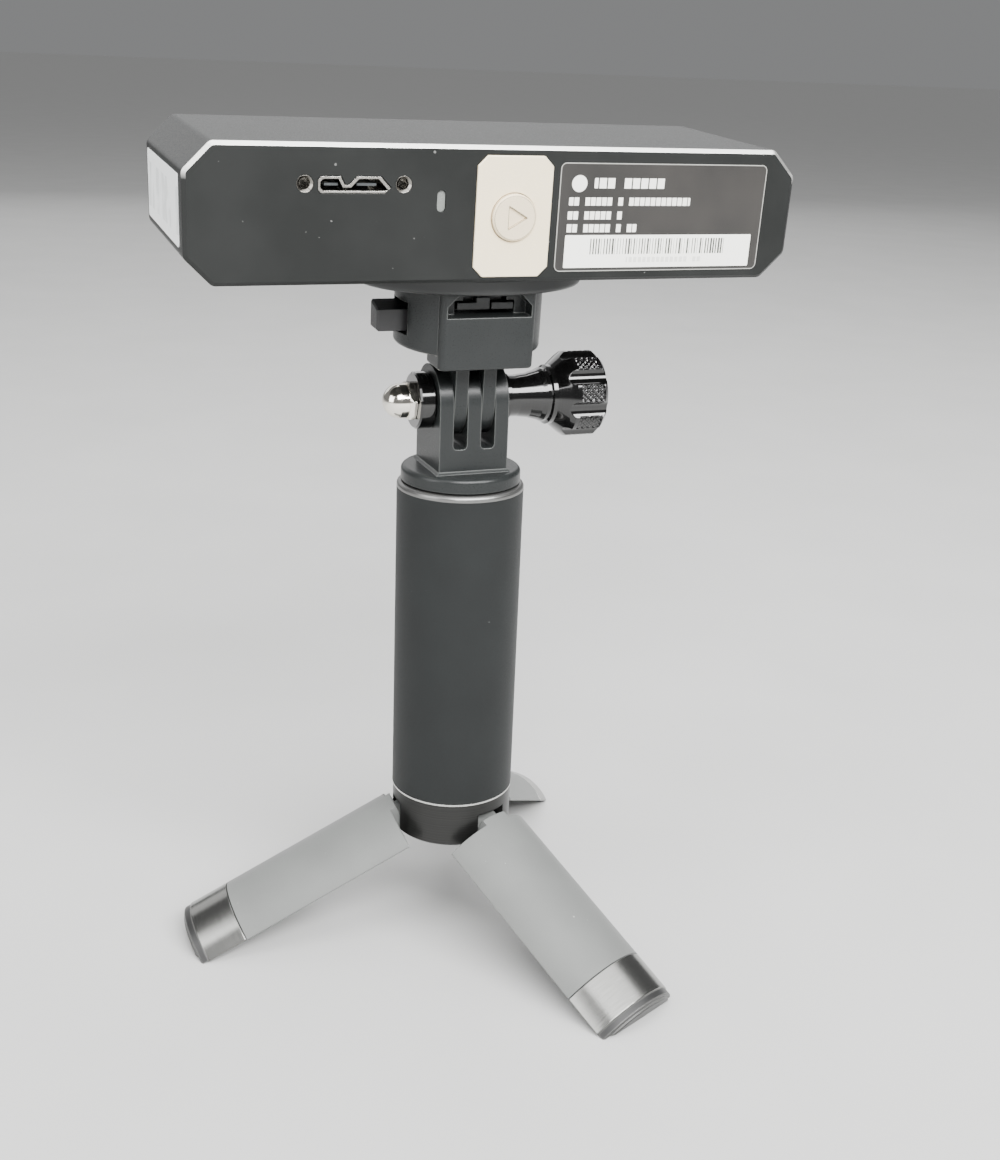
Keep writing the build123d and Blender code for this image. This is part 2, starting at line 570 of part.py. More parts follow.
# ---- legs, in each leg's own frame: u out from the hinge, v across, w along ---------------------
FLAT_U = GRIP_R * math.cos(math.radians(LEG_HALF_ANGLE)) - HINGE_R


def segment(inset, w_top, w_bottom):
    """The leg's section, a slice of the grip's circle with a flat inner face."""
    round_part = rod_z(GRIP_R - inset, w_bottom, w_top, -HINGE_R)
    return round_part & block((FLAT_U + inset, GRIP_R), (-GRIP_R, GRIP_R), (w_bottom, w_top))


def long_edges(shape):
    """The two edges where the round outside meets the flat inside."""
    return [edge for edge in shape.edges().filter_by(Axis.Z) if abs(edge.center().Y) > 10]


def leg_shell():
    leg = segment(0, -LEG_START, -LEG_END + SEAM / 2)
    leg = fillet(long_edges(leg), 0.3)
    # room for the hub's rim while the leg turns
    leg -= rod_y(6.6, -6.3, 6.3)
    # hollow inner face
    hollow = block((FLAT_U - 1, FLAT_U + 3.4), (-6.5, 6.5), (-LEG_END + 9, -12.0))
    leg -= fillet(hollow.edges().filter_by(Axis.X), 2.0)
    # socket for the metal tip
    leg -= block((0.55, 3.45), (-5.05, 5.05), (-LEG_END - 1, -LEG_END + 5.0))
    # hinge lug and the short lip of skin that closes the hub's slot
    leg += block((FLAT_U, LUG_R), (-LUG_HALF, LUG_HALF), (-9.0, 0)) + rod_y(LUG_R, -LUG_HALF, LUG_HALF)
    lip = segment(0, -3.9, -7.0) & block((1.5, GRIP_R), (-LUG_HALF, LUG_HALF), (-7.0, -3.9))
    leg += lip
    leg -= rod_y(PIN_R + RUN, -LUG_HALF - 1, LUG_HALF + 1)
    return leg


def tip_cap():
    tip = segment(0, -LEG_END - SEAM / 2, -TIP_END)
    tip = fillet(long_edges(tip), 0.3)
    tip = chamfer(tip.faces().sort_by(Axis.Z)[0].edges(), 0.15)
    tip += block((0.6, 3.4), (-5.0, 5.0), (-LEG_END - SEAM, -LEG_END + 4.6))
    return tip


def foot_pad(azimuth):
    """Rubber end: a band the size of the leg, worn flat where it stands, and a smaller pad."""
    band = segment(0.25, -TIP_END, -FOOT_BAND_END)
    band = chamfer(band.faces().sort_by(Axis.Z)[0].edges(), 0.25)
    pad = segment(1.2, -TIP_END - 0.1, -FOOT_END)
    pad = chamfer(pad.faces().sort_by(Axis.Z)[0].edges(), 0.3)
    placed = leg_place(azimuth) * (band + pad)
    return placed - block((-100, 100), (-100, 100), (-10, 0))


for side, azimuth in LEG_AZIMUTHS.items():
    keep("leg_" + side, leg_shell(), leg_place(azimuth))
    keep("tip_" + side, tip_cap(), leg_place(azimuth))
    keep("foot_" + side, foot_pad(azimuth), Location())

# ---- write ----------------------------------------------------------------------------------
os.makedirs("parts", exist_ok=True)
for name, shape in nodes.items():
    export_step(shape, "parts/" + name + ".step")
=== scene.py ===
"""Looks for the handheld scanner on its quick-release head and folding grip stand."""
import math

import bmesh
import bpy
from mathutils import Matrix, Vector


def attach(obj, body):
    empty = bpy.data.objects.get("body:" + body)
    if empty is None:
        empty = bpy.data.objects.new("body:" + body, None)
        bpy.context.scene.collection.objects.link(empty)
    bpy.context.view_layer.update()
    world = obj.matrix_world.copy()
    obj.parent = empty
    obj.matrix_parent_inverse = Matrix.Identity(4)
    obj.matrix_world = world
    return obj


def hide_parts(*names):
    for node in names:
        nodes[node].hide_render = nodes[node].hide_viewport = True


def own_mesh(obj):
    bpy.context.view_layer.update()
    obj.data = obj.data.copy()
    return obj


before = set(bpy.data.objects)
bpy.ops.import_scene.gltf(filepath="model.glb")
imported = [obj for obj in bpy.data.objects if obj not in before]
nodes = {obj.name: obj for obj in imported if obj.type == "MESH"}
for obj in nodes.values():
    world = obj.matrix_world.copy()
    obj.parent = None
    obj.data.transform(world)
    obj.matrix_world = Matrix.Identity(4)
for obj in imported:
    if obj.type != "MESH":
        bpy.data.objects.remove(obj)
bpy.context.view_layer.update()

MM = 0.001                          # a millimetre in metres
PER_METRE = 1000.0                  # millimetres in a metre
AXIS_X = 0.06 * MM                  # the grip's axis
AXIS_Y = 2.0 * MM
PIVOT_Z = 122.4 * MM                # the clamp's axis, about which the head tilts
HINGE_Z = 26.75 * MM                # the legs' hinges: height, and distance from the grip's axis
HINGE_R = 8.0 * MM
TILT = math.radians(3.75)
SPLAY = math.radians(62.7)
LEG_AZIMUTHS = {"left": 175.0, "front": -65.8, "rear": 54.75}
BODY_H = 25.0                       # height of the scanner's body, in millimetres
BODY_ABOVE_PIVOT = 41.0 * MM

# the head's own frame: origin at the tilt pivot, +Y along the lenses' line of sight
HEAD = Matrix.Translation((AXIS_X, AXIS_Y, PIVOT_Z)) @ Matrix.Rotation(TILT, 4, "X")
# the scanner's: the same directions, origin in the middle of its body
SCANNER = HEAD @ Matrix.Translation((0, 0, BODY_ABOVE_PIVOT))

# the parts of a noise's range over which a surface goes from its low value to its high one
NARROW = (0.35, 0.65)
WIDE = (0.3, 0.7)
# every grained surface also drifts slowly, over this distance and by this share of its range
DRIFT_MM = 14.0
DRIFT_SHARE = 0.12


# ---- node-tree helpers ------------------------------------------------------------------
class Paint:
    """A material and the few node calls that the materials below are built from."""

    def __init__(self, name, **sockets):
        self.material = bpy.data.materials.new(name)
        self.material.use_nodes = True
        self.tree = self.material.node_tree
        self.shader = self.tree.nodes["Principled BSDF"]
        self.coords = self.tree.nodes.new("ShaderNodeTexCoord").outputs["Object"]
        self.normal = None
        for socket, value in sockets.items():
            self.set(socket.replace("_", " "), value)

    def set(self, socket, value):
        """Links a node's output to a socket of the shader, or writes a plain value there."""
        target = self.shader.inputs[socket]
        if isinstance(value, bpy.types.NodeSocket):
            self.tree.links.new(value, target)
        elif isinstance(value, tuple) and len(value) == 3 and len(target.default_value) == 4:
            target.default_value = (*value, 1.0)
        else:
            target.default_value = value

    def feed(self, node, inputs):
        """The same for any node's inputs."""
        for key, value in inputs.items():
            if isinstance(value, bpy.types.NodeSocket):
                self.tree.links.new(value, node.inputs[key])
            else:
                node.inputs[key].default_value = value

    def calc(self, operation, *values):
        node = self.tree.nodes.new("ShaderNodeMath")
        node.operation = operation
        self.feed(node, dict(enumerate(values)))
        return node.outputs[0]

    def times(self, first, second):
        return self.calc("MULTIPLY", first, second)

    def vector(self, operation, *values):
        node = self.tree.nodes.new("ShaderNodeVectorMath")
        node.operation = operation
        self.feed(node, dict(enumerate(values)))
        return node.outputs["Value" if operation == "DOT_PRODUCT" else 0]

    def join(self, parts):
        """A vector from its components, by their place in it."""
        node = self.tree.nodes.new("ShaderNodeCombineXYZ")
        self.feed(node, parts)
        return node.outputs[0]

    def split(self, vector):
        node = self.tree.nodes.new("ShaderNodeSeparateXYZ")
        self.feed(node, {0: vector})
        return node.outputs[0], node.outputs[1], node.outputs[2]

    def placed(self, matrix):
        """Coordinates in another frame, in millimetres."""
        inverse = matrix.inverted()
        parts = []
        for row in range(3):
            along = tuple(Vector(inverse[row][:3]) * PER_METRE)
            dot = self.vector("DOT_PRODUCT", self.coords, along)
            parts.append(self.calc("ADD", dot, inverse[row][3] * PER_METRE))
        return self.join(dict(enumerate(parts)))

    def noise(self, size_mm, detail=2.0, vector=None, distortion=0.0):
        """Noise whose features are about size_mm across. A given vector is in millimetres."""
        node = self.tree.nodes.new("ShaderNodeTexNoise")
        scale = 1 / (size_mm * MM) if vector is None else 1 / size_mm
        self.feed(node, {"Vector": vector or self.coords, "Scale": scale, "Detail": detail,
                         "Distortion": distortion})
        return node.outputs["Fac"]

    def tool_lines(self, axis, size_mm):
        """Noise that changes only along one axis, as the lines of turned metal do."""
        node = self.tree.nodes.new("ShaderNodeTexNoise")
        node.noise_dimensions = "1D"
        self.feed(node, {"W": self.times(self.split(self.coords)[axis], PER_METRE),
                         "Scale": 1 / size_mm, "Detail": 2.0})
        return node.outputs["Fac"]

    def remap(self, value, low, high, to_low=0.0, to_high=1.0):
        node = self.tree.nodes.new("ShaderNodeMapRange")
        self.feed(node, {0: value, 1: low, 2: high, 3: to_low, 4: to_high})
        return node.outputs[0]

    def mix(self, factor, first, second):
        node = self.tree.nodes.new("ShaderNodeMix")
        node.data_type = "RGBA"
        first, second = [(*c, 1.0) if isinstance(c, tuple) else c for c in (first, second)]
        self.feed(node, {0: factor, 6: first, 7: second})
        return node.outputs[2]

    def shades(self, driver, dark, light, span=WIDE):
        """From the dark colour to the light one over the given part of the driver's range."""
        return self.mix(self.remap(driver, *span), dark, light)

    def overlay(self, base, colour, mask, share=1.0):
        """The colour laid over the base where the mask is, at this share of its strength."""
        return self.mix(self.times(mask, share), base, colour)

    def specks(self, size_mm, above=0.79, detail=1.0):
        """1 on a few scattered specks; the higher the level, the fewer they are."""
        return self.remap(self.noise(size_mm, detail), above, above + 0.02)

    def bump(self, height, strength, distance_mm=0.05):
        node = self.tree.nodes.new("ShaderNodeBump")
        self.feed(node, {"Strength": strength, "Distance": distance_mm * MM, "Height": height})
        if self.normal is not None:
            self.feed(node, {"Normal": self.normal})
        self.normal = node.outputs[0]
        self.set("Normal", self.normal)

    def bevel(self, radius_mm):
        node = self.tree.nodes.new("ShaderNodeBevel")
        node.samples = 6
        self.feed(node, {"Radius": radius_mm * MM})
        return node.outputs[0]

    def soft_edges(self, radius_mm):
        """Rounds every sharp edge in the shading, as a moulded or tumbled part has."""
        self.normal = self.bevel(radius_mm)
        self.set("Normal", self.normal)

    def edge_mask(self, radius_mm):
        """1 along sharp edges, 0 on flat ground."""
        plain = self.tree.nodes.new("ShaderNodeNewGeometry").outputs["Normal"]
        agree = self.vector("DOT_PRODUCT", self.bevel(radius_mm), plain)
        return self.remap(agree, 0.999, 0.93)

    def bevel_band(self, axis):
        """1 on faces that lean about 45 degrees from the given axis, 0 on the others."""
        normal = self.tree.nodes.new("ShaderNodeTexCoord").outputs["Normal"]
        lean = self.calc("ABSOLUTE", self.vector("DOT_PRODUCT", normal, tuple(axis)))
        return self.times(self.remap(lean, 0.40, 0.55), self.remap(lean, 0.85, 0.96, 1.0, 0.0))

    def grain(self, low, high, size_mm, bump=0.0):
        """Fine roughness and bump, with slow drift over centimetres; returns both noises."""
        fine = self.noise(size_mm, 3.0)
        slow = self.noise(DRIFT_MM, 2.0)
        blend = self.calc("ADD", self.times(fine, 1 - DRIFT_SHARE),
                          self.times(slow, DRIFT_SHARE))
        self.set("Roughness", self.remap(blend, *NARROW, low, high))
        if bump:
            self.bump(fine, bump)
        return fine, slow

    def drifting(self, low, high, size_mm, dark, light, bump=0.0):
        """Grain, and a colour that drifts slowly from dark to light."""
        _, slow = self.grain(low, high, size_mm, bump)
        self.set("Base Color", self.shades(slow, dark, light, NARROW))
        return self.material


# ---- materials ------------------------------------------------------------------------------
def make_case_metal():
    """Bead-blasted black anodising with a few dust specks, and a painted highlight on its upper
    bevels.
    """
    p = Paint("case_metal", Specular_IOR_Level=0.22)
    p.soft_edges(0.15)
    _, slow = p.grain(0.36, 0.46, 0.28, bump=0.10)
    base = p.shades(slow, (0.013, 0.014, 0.0135), (0.017, 0.018, 0.0175), NARROW)
    base = p.overlay(base, (0.35, 0.35, 0.34), p.specks(1.1), 0.35)
    # painted highlight: the bevels round the front and back faces turn bright pale metal, on the
    # upper part of the body only
    height = p.split(p.placed(SCANNER))[2]
    upper = p.remap(height, BODY_H / 2 - 6.5, BODY_H / 2 - 4.0)
    painted_bevel_highlight = p.times(p.bevel_band(HEAD.col[1].xyz), upper)
    p.set("Metallic", p.remap(painted_bevel_highlight, 0.0, 1.0, 0.25, 1.0))
    p.set("Base Color", p.mix(painted_bevel_highlight, base, (0.86, 0.86, 0.83)))
    return p.material


def make_soft_grip():
    """Soft-touch rubber coat: very fine tooth, dull sheen, a few lint specks."""
    p = Paint("soft_grip", Sheen_Weight=0.04, Sheen_Roughness=0.5, Specular_IOR_Level=0.22)
    _, slow = p.grain(0.55, 0.70, 0.18, bump=0.15)
    base = p.shades(slow, (0.007, 0.008, 0.008), (0.009, 0.0105, 0.0105))
    p.set("Base Color", p.overlay(base, (0.4, 0.41, 0.40), p.specks(0.9, detail=2.0), 0.5))
    return p.material


def make_leg_plastic():
    """Matte grey leg skin with a little dust."""
    p = Paint("leg_plastic", Sheen_Weight=0.1, Specular_IOR_Level=0.4)
    p.soft_edges(0.2)
    _, slow = p.grain(0.48, 0.62, 0.2, bump=0.15)
    base = p.shades(slow, (0.108, 0.112, 0.108), (0.126, 0.131, 0.126))
    p.set("Base Color", p.overlay(base, (0.5, 0.5, 0.49), p.specks(1.0, above=0.80), 0.4))
    return p.material


def make_tip_metal(side):
    """Metal cap of a leg, brushed round the leg."""
    azimuth = math.radians(LEG_AZIMUTHS[side])
    leg = (Matrix.Translation((AXIS_X, AXIS_Y, 0)) @ Matrix.Rotation(azimuth, 4, "Z")
           @ Matrix.Translation((HINGE_R, 0, HINGE_Z)) @ Matrix.Rotation(-SPLAY, 4, "Y"))
    p = Paint("tip_metal_" + side, Metallic=1.0)
    p.soft_edges(0.25)
    _, across, along = p.split(p.placed(leg))
    # squeezed along the leg and drawn out round it
    stroke = p.join({0: p.times(along, 6.0), 1: p.times(across, 0.25)})
    brushed = p.noise(1.0, 2.0, stroke)
    p.set("Roughness", p.remap(brushed, *WIDE, 0.20, 0.24))
    p.set("Base Color", p.shades(brushed, (0.24, 0.24, 0.23), (0.27, 0.27, 0.26), NARROW))
    return p.material


def make_turned_metal(name, dark, light):
    """Satin turned metal, with rings round the grip's axis."""
    p = Paint(name, Metallic=0.9)
    p.soft_edges(0.2)
    rings = p.tool_lines(2, 0.25)
    p.set("Roughness", p.remap(rings, *WIDE, 0.30, 0.42))
    p.set("Base Color", p.shades(rings, dark, light, NARROW))
    return p.material


def make_gunmetal():
    """The hub that the legs fold against."""
    return make_turned_metal("gunmetal", (0.034, 0.034, 0.033), (0.044, 0.044, 0.043))


def make_rim_painted_highlight():
    """The plug at the top of the grip, in a paler metal as a painted highlight for the light its
    rounded rim catches.
    """
    # painted highlight: the whole plug is paler than the hub's metal
    return make_turned_metal("rim_painted_highlight", (0.17, 0.17, 0.165), (0.22, 0.22, 0.215))


def make_bright_ring():
    p = Paint("bright_ring", Metallic=1.0, Base_Color=(0.62, 0.62, 0.60))
    p.grain(0.16, 0.30, 0.3)
    return p.material


def make_mount_plastic():
    """Glass-filled nylon, satin, with a painted highlight along its edges and corners."""
    p = Paint("mount_plastic", Specular_IOR_Level=0.28)
    p.soft_edges(0.35)
    _, slow = p.grain(0.26, 0.38, 0.22, bump=0.10)
    base = p.shades(slow, (0.011, 0.0125, 0.0125), (0.015, 0.0165, 0.0165))
    # painted highlight: edges and corners lightened towards pale grey
    p.set("Base Color", p.overlay(base, (0.20, 0.21, 0.20), p.edge_mask(0.35), 0.35))
    return p.material


def make_plate_metal():
    p = Paint("plate_metal", Metallic=0.5)
    p.soft_edges(0.3)
    return p.drifting(0.32, 0.46, 0.25, (0.027, 0.028, 0.028), (0.035, 0.036, 0.036), bump=0.1)


def make_plastic_black():
    p = Paint("plastic_black", Specular_IOR_Level=0.45)
    p.soft_edges(0.2)
    return p.drifting(0.34, 0.5, 0.25, (0.018, 0.018, 0.019), (0.026, 0.026, 0.027), bump=0.15)


def make_black_anodised():
    """Glossy black anodised turned aluminium, with faint tool lines across the axis."""
    p = Paint("anodised_black", Metallic=0.9, Coat_Weight=1.0, Coat_Roughness=0.04)
    p.soft_edges(0.1)
    lines = p.tool_lines(0, 0.2)
    p.set("Roughness", p.remap(lines, *WIDE, 0.10, 0.18))
    p.set("Base Color", p.shades(lines, (0.014, 0.014, 0.014), (0.022, 0.022, 0.022), NARROW))
    p.bump(lines, 0.05, distance_mm=0.02)
    return p.material


def make_chrome():
    """Bright plating, faintly smeared."""
    p = Paint("chrome", Metallic=1.0, Base_Color=(0.88, 0.84, 0.76))
    p.soft_edges(0.12)
    p.set("Roughness", p.remap(p.noise(2.5, 3.0), 0.35, 0.7, 0.04, 0.14))
    return p.material


def make_steel():
    p = Paint("steel", Metallic=1.0)
    p.soft_edges(0.1)
    return p.drifting(0.22, 0.36, 0.3, (0.50, 0.50, 0.49), (0.60, 0.60, 0.59))


def make_socket_metal():
    """Dulled steel of the cable socket's skirt."""
    p = Paint("socket_metal", Metallic=1.0)
    p.soft_edges(0.15)
    return p.drifting(0.18, 0.30, 0.3, (0.32, 0.31, 0.29), (0.40, 0.39, 0.36))


def make_nickel():
    """Dull nickel of the locking inserts."""
    p = Paint("nickel", Metallic=1.0)
    p.soft_edges(0.1)
    return p.drifting(0.16, 0.28, 0.3, (0.22, 0.21, 0.19), (0.28, 0.27, 0.25))


def make_brass():
    p = Paint("brass", Metallic=1.0)
    p.soft_edges(0.1)
    return p.drifting(0.2, 0.34, 0.3, (0.72, 0.56, 0.33), (0.82, 0.68, 0.45))


def make_rubber():
    p = Paint("rubber", Specular_IOR_Level=0.3)
    p.soft_edges(0.25)
    return p.drifting(0.5, 0.7, 0.2, (0.012, 0.012, 0.012), (0.020, 0.020, 0.020), bump=0.2)


def make_foot_rubber():
    """Black rubber whose edges are made paler as a painted highlight along the rim where it meets
    the table.
    """
    p = Paint("foot_rubber", Specular_IOR_Level=0.45)
    p.soft_edges(0.4)
    _, slow = p.grain(0.30, 0.45, 0.2, bump=0.15)
    base = p.shades(slow, (0.012, 0.012, 0.012), (0.020, 0.020, 0.020))
    # painted highlight: the foot's edges lightened towards grey
    p.set("Base Color", p.overlay(base, (0.22, 0.22, 0.21), p.edge_mask(0.4), 0.5))
    return p.material


def make_silver(name, dark, light, edge, edge_share, edge_mm):
    """Blasted champagne-silver aluminium whose edges carry a painted edge colour: a painted
    highlight on the plate, painted shade on the button.
    """
    p = Paint(name, Metallic=0.3, Specular_IOR_Level=0.35)
    p.soft_edges(0.15)
    fine, _ = p.grain(0.34, 0.44, 0.3, bump=0.08)
    base = p.shades(fine, dark, light)
    # the edge colour is painted light and shade along the edges: a highlight on the plate, shade
    # on the button
    p.set("Base Color", p.overlay(base, edge, p.edge_mask(edge_mm), edge_share))
    return p.material


def make_silver_plate():
    """The plate round the button, with a painted highlight along its edges."""
    return make_silver("silver_plate", (0.93, 0.79, 0.54), (0.96, 0.83, 0.59),
                       edge=(0.94, 0.91, 0.85), edge_share=0.5, edge_mm=0.18)


def make_button_metal():
    """The scan button: a little darker than the plate, with painted shade in its mark and at its
    rim.
    """
    # painted shade: a near-black edge colour fills the mark's grooves and rings the rim
    return make_silver("button_metal", (0.78, 0.66, 0.46), (0.83, 0.71, 0.51),
                       edge=(0.10, 0.085, 0.065), edge_share=0.95, edge_mm=0.30)


def make_usb_plastic():
    """Dark grey plastic tongues inside the socket."""
    p = Paint("usb_plastic", Specular_IOR_Level=0.5)
    return p.drifting(0.3, 0.45, 0.2, (0.035, 0.040, 0.042), (0.050, 0.056, 0.058), bump=0.1)


def make_dark_glass():
    """The black front window, faintly smeared."""
    p = Paint("dark_glass", Base_Color=(0.006, 0.006, 0.008), IOR=1.5, Coat_Weight=0.3)
    p.set("Roughness", p.remap(p.noise(9.0, 3.0), 0.3, 0.75, 0.03, 0.10))
    return p.material


def make_lens_glass():
    """Coated lens: violet seen straight on, turning green towards its edge."""
    p = Paint("lens_glass", Coat_Weight=1.0, Coat_Roughness=0.02, Roughness=0.05)
    weight = p.tree.nodes.new("ShaderNodeLayerWeight")
    p.feed(weight, {"Blend": 0.35})
    p.set("Base Color", p.mix(weight.outputs["Facing"], (0.010, 0.006, 0.035), (0.03, 0.09, 0.07)))
    return p.material


def make_lamp():
    """Milky window over a lamp."""
    p = Paint("lamp_plastic", Specular_IOR_Level=0.6, Subsurface_Weight=0.2)
    p.set("Subsurface Radius", (0.0006, 0.0006, 0.0005))
    return p.drifting(0.15, 0.3, 0.4, (0.13, 0.14, 0.13), (0.17, 0.18, 0.17))


def make_board():
    """Green circuit board with paler tracks."""
    p = Paint("board", Specular_IOR_Level=0.5)
    p.grain(0.25, 0.4, 0.5)
    tracks = p.remap(p.noise(1.2, 4.0), 0.5, 0.53)
    p.set("Base Color", p.mix(tracks, (0.012, 0.10, 0.045), (0.02, 0.16, 0.075)))
    return p.material


# ---- labels: places and sizes in millimetres from the middle of the scanner's body --------------
LABEL_CENTRE = (31.75, -0.45)
LABEL_HALF = (22.1, 10.15)
FRAME_LINE = 0.17
FRAME_RADIUS = 0.95
PRINT_WHITE = (0.86, 0.85, 0.80)
# plain rows that stand for print: start and end from the label's left edge, middle below
# its top, half height, and the pitch of the blocks along the row
PRINT_ROWS = [(7.1, 22.8, 3.7, 0.95, 1.75),
              (2.1, 27.8, 7.1, 0.75, 1.15),
              (2.0, 13.6, 9.7, 0.75, 1.15),
              (1.9, 16.7, 12.1, 0.75, 1.15)]
BLOCK_GAP = 0.16                    # share of the pitch between two blocks
MARK = ((4.0, 3.8), 1.55)           # a plain dot: its place from the label's corner, its radius
BAR_PITCH = 0.58
BAR_BLOCK = ((31.4, -5.85), (14.9, 1.5))
DASH_PITCH = 1.0
DASH_GAP = 0.3
DASH_BLOCK = ((32.9, -8.45), (8.2, 0.5))
SMEAR_HEIGHT = 4.2                  # the end sticker's smears stop this far from its middle


def rounded_box(p, x, z, centre, half, radius):
    """1 inside a rounded rectangle in the back face's plane, 0 outside."""
    past = []
    for value, middle, reach in ((x, centre[0], half[0]), (z, centre[1], half[1])):
        away = p.calc("ABSOLUTE", p.calc("SUBTRACT", value, middle))
        past.append(p.calc("MAXIMUM", p.calc("SUBTRACT", away, reach - radius), 0.0))
    away = p.calc("SQRT", p.calc("ADD", p.times(past[0], past[0]), p.times(past[1], past[1])))
    return p.remap(away, radius - 0.04, radius + 0.04, 1.0, 0.0)


def random_cells(p, x, pitch):
    """A random value for each cell along x, and how far across its cell each point is."""
    place = p.calc("DIVIDE", x, pitch)
    cell = p.tree.nodes.new("ShaderNodeTexWhiteNoise")
    cell.noise_dimensions = "1D"
    p.feed(cell, {"W": p.calc("FLOOR", place)})
    return cell.outputs["Value"], p.calc("FRACT", place)


def blocks(p, x, pitch, gap):
    """Blocks of a row: a narrow gap before each one, and now and then a missing one."""
    value, across = random_cells(p, x, pitch)
    shown = p.calc("GREATER_THAN", value, 0.12)
    return p.times(shown, p.calc("GREATER_THAN", across, gap))


def make_label_film():
    """Dark printed film with a pale hairline frame and plain blocks where print would be."""
    p = Paint("label_film", Specular_IOR_Level=0.4)
    x, _, z = p.split(p.placed(SCANNER))
    base = p.shades(p.noise(12.0, 2.0), (0.020, 0.019, 0.018), (0.030, 0.028, 0.026))
    left, top = LABEL_CENTRE[0] - LABEL_HALF[0], LABEL_CENTRE[1] + LABEL_HALF[1]
    for start, end, below, half, pitch in PRINT_ROWS:
        centre = (left + (start + end) / 2, top - below)
        row = rounded_box(p, x, z, centre, ((end - start) / 2, half), 0.2)
        shown = p.times(row, blocks(p, x, pitch, BLOCK_GAP))
        base = p.mix(shown, base, PRINT_WHITE)
    (across, below), radius = MARK
    dot = rounded_box(p, x, z, (left + across, top - below), (radius, radius), radius)
    base = p.mix(dot, base, PRINT_WHITE)
    inner = [size - FRAME_LINE for size in LABEL_HALF]
    inside = rounded_box(p, x, z, LABEL_CENTRE, inner, FRAME_RADIUS)
    p.set("Base Color", p.mix(inside, (0.30, 0.30, 0.28), base))
    p.set("Roughness", p.remap(p.noise(0.5, 2.0), *WIDE, 0.30, 0.42))
    return p.material


def make_barcode():
    """White sticker with a block of meaningless bars over a row of small grey dashes."""
    p = Paint("barcode_sticker", Specular_IOR_Level=0.4)
    x, _, z = p.split(p.placed(SCANNER))
    value, across = random_cells(p, x, BAR_PITCH)
    width = p.calc("ADD", p.times(value, 0.62), 0.08)
    bars = p.times(p.calc("LESS_THAN", across, width), rounded_box(p, x, z, *BAR_BLOCK, 0.05))
    dashes = p.times(blocks(p, x, DASH_PITCH, DASH_GAP), rounded_box(p, x, z, *DASH_BLOCK, 0.1))
    base = p.mix(bars, (0.92, 0.92, 0.86), (0.045, 0.045, 0.04))
    p.set("Base Color", p.overlay(base, (0.30, 0.30, 0.29), dashes, 0.4))
    p.set("Roughness", p.remap(p.noise(0.35, 2.0), *WIDE, 0.42, 0.56))
    return p.material


def make_end_sticker():
    """White end sticker with a few faint grey smears."""
    p = Paint("end_sticker", Specular_IOR_Level=0.4)
    place = p.placed(SCANNER)
    upright = p.vector("MULTIPLY", place, (1.0, 0.9, 0.35))
    smears = p.noise(3.0, 1.0, upright, distortion=0.6)
    field = p.calc("LESS_THAN", p.calc("ABSOLUTE", p.split(place)[2]), SMEAR_HEIGHT)
    faint = p.times(p.remap(smears, 0.52, 0.62, 0.0, 0.35), field)
    p.set("Base Color", p.mix(faint, (0.88, 0.90, 0.90), (0.36, 0.38, 0.38)))
    p.set("Roughness", p.remap(p.noise(0.4, 2.0), *WIDE, 0.36, 0.5))
    return p.material


# ---- each material and the nodes that have it -----------------------------------------------
LOOKS = [
    (make_case_metal, ["case_shell"]),
    (make_soft_grip, ["grip_sleeve"]),
    (make_leg_plastic, ["leg_left", "leg_front", "leg_rear"]),
    (make_gunmetal, ["leg_hub"]),
    (make_rim_painted_highlight, ["top_plug"]),
    (make_bright_ring, ["trim_ring"]),
    (make_mount_plastic, ["finger_mount", "release_base"]),
    (make_plate_metal, ["mount_plate"]),
    (make_plastic_black, [
        "pin_retainer", "release_button", "latch_bar", "front_bezel", "depth_camera_left",
        "depth_camera_right", "projector", "colour_camera", "vision_processor", "button_switch"]),
    (make_usb_plastic, ["usb_tongue"]),
    (make_nickel, ["cable_lock_inserts"]),
    (make_black_anodised, ["nut_collar", "clamp_knob"]),
    (make_chrome, ["acorn_nut"]),
    (make_steel, [
        "mount_stud", "retainer_screw", "hinge_pins", "clamp_screw", "release_spring",
        "camera_screw", "board_screws", "grip_tube", "optical_bench", "heat_spreader"]),
    (make_socket_metal, ["usb_socket"]),
    (make_brass, ["mount_insert", "tripod_insert"]),
    (make_rubber, ["pan_washer", "plate_pad"]),
    (make_foot_rubber, ["foot_left", "foot_front", "foot_rear"]),
    (make_silver_plate, ["button_plate"]),
    (make_button_metal, ["scan_button"]),
    (make_dark_glass, ["front_glass"]),
    (make_lens_glass, ["depth_lenses", "projector_lens", "colour_lens"]),
    (make_lamp, ["fill_lights", "status_light"]),
    (make_board, ["main_board"]),
    (make_label_film, ["rating_label"]),
    (make_barcode, ["barcode_strip"]),
    (make_end_sticker, ["end_label"]),
]


def paint_node(name, material):
    """Gives one of the part's nodes its only material."""
    mesh = nodes[name].data
    mesh.materials.clear()
    mesh.materials.append(material)


for make_look, names in LOOKS:
    look = make_look()
    for name in names:
        paint_node(name, look)
for side in LEG_AZIMUTHS:
    paint_node("tip_" + side, make_tip_metal(side))


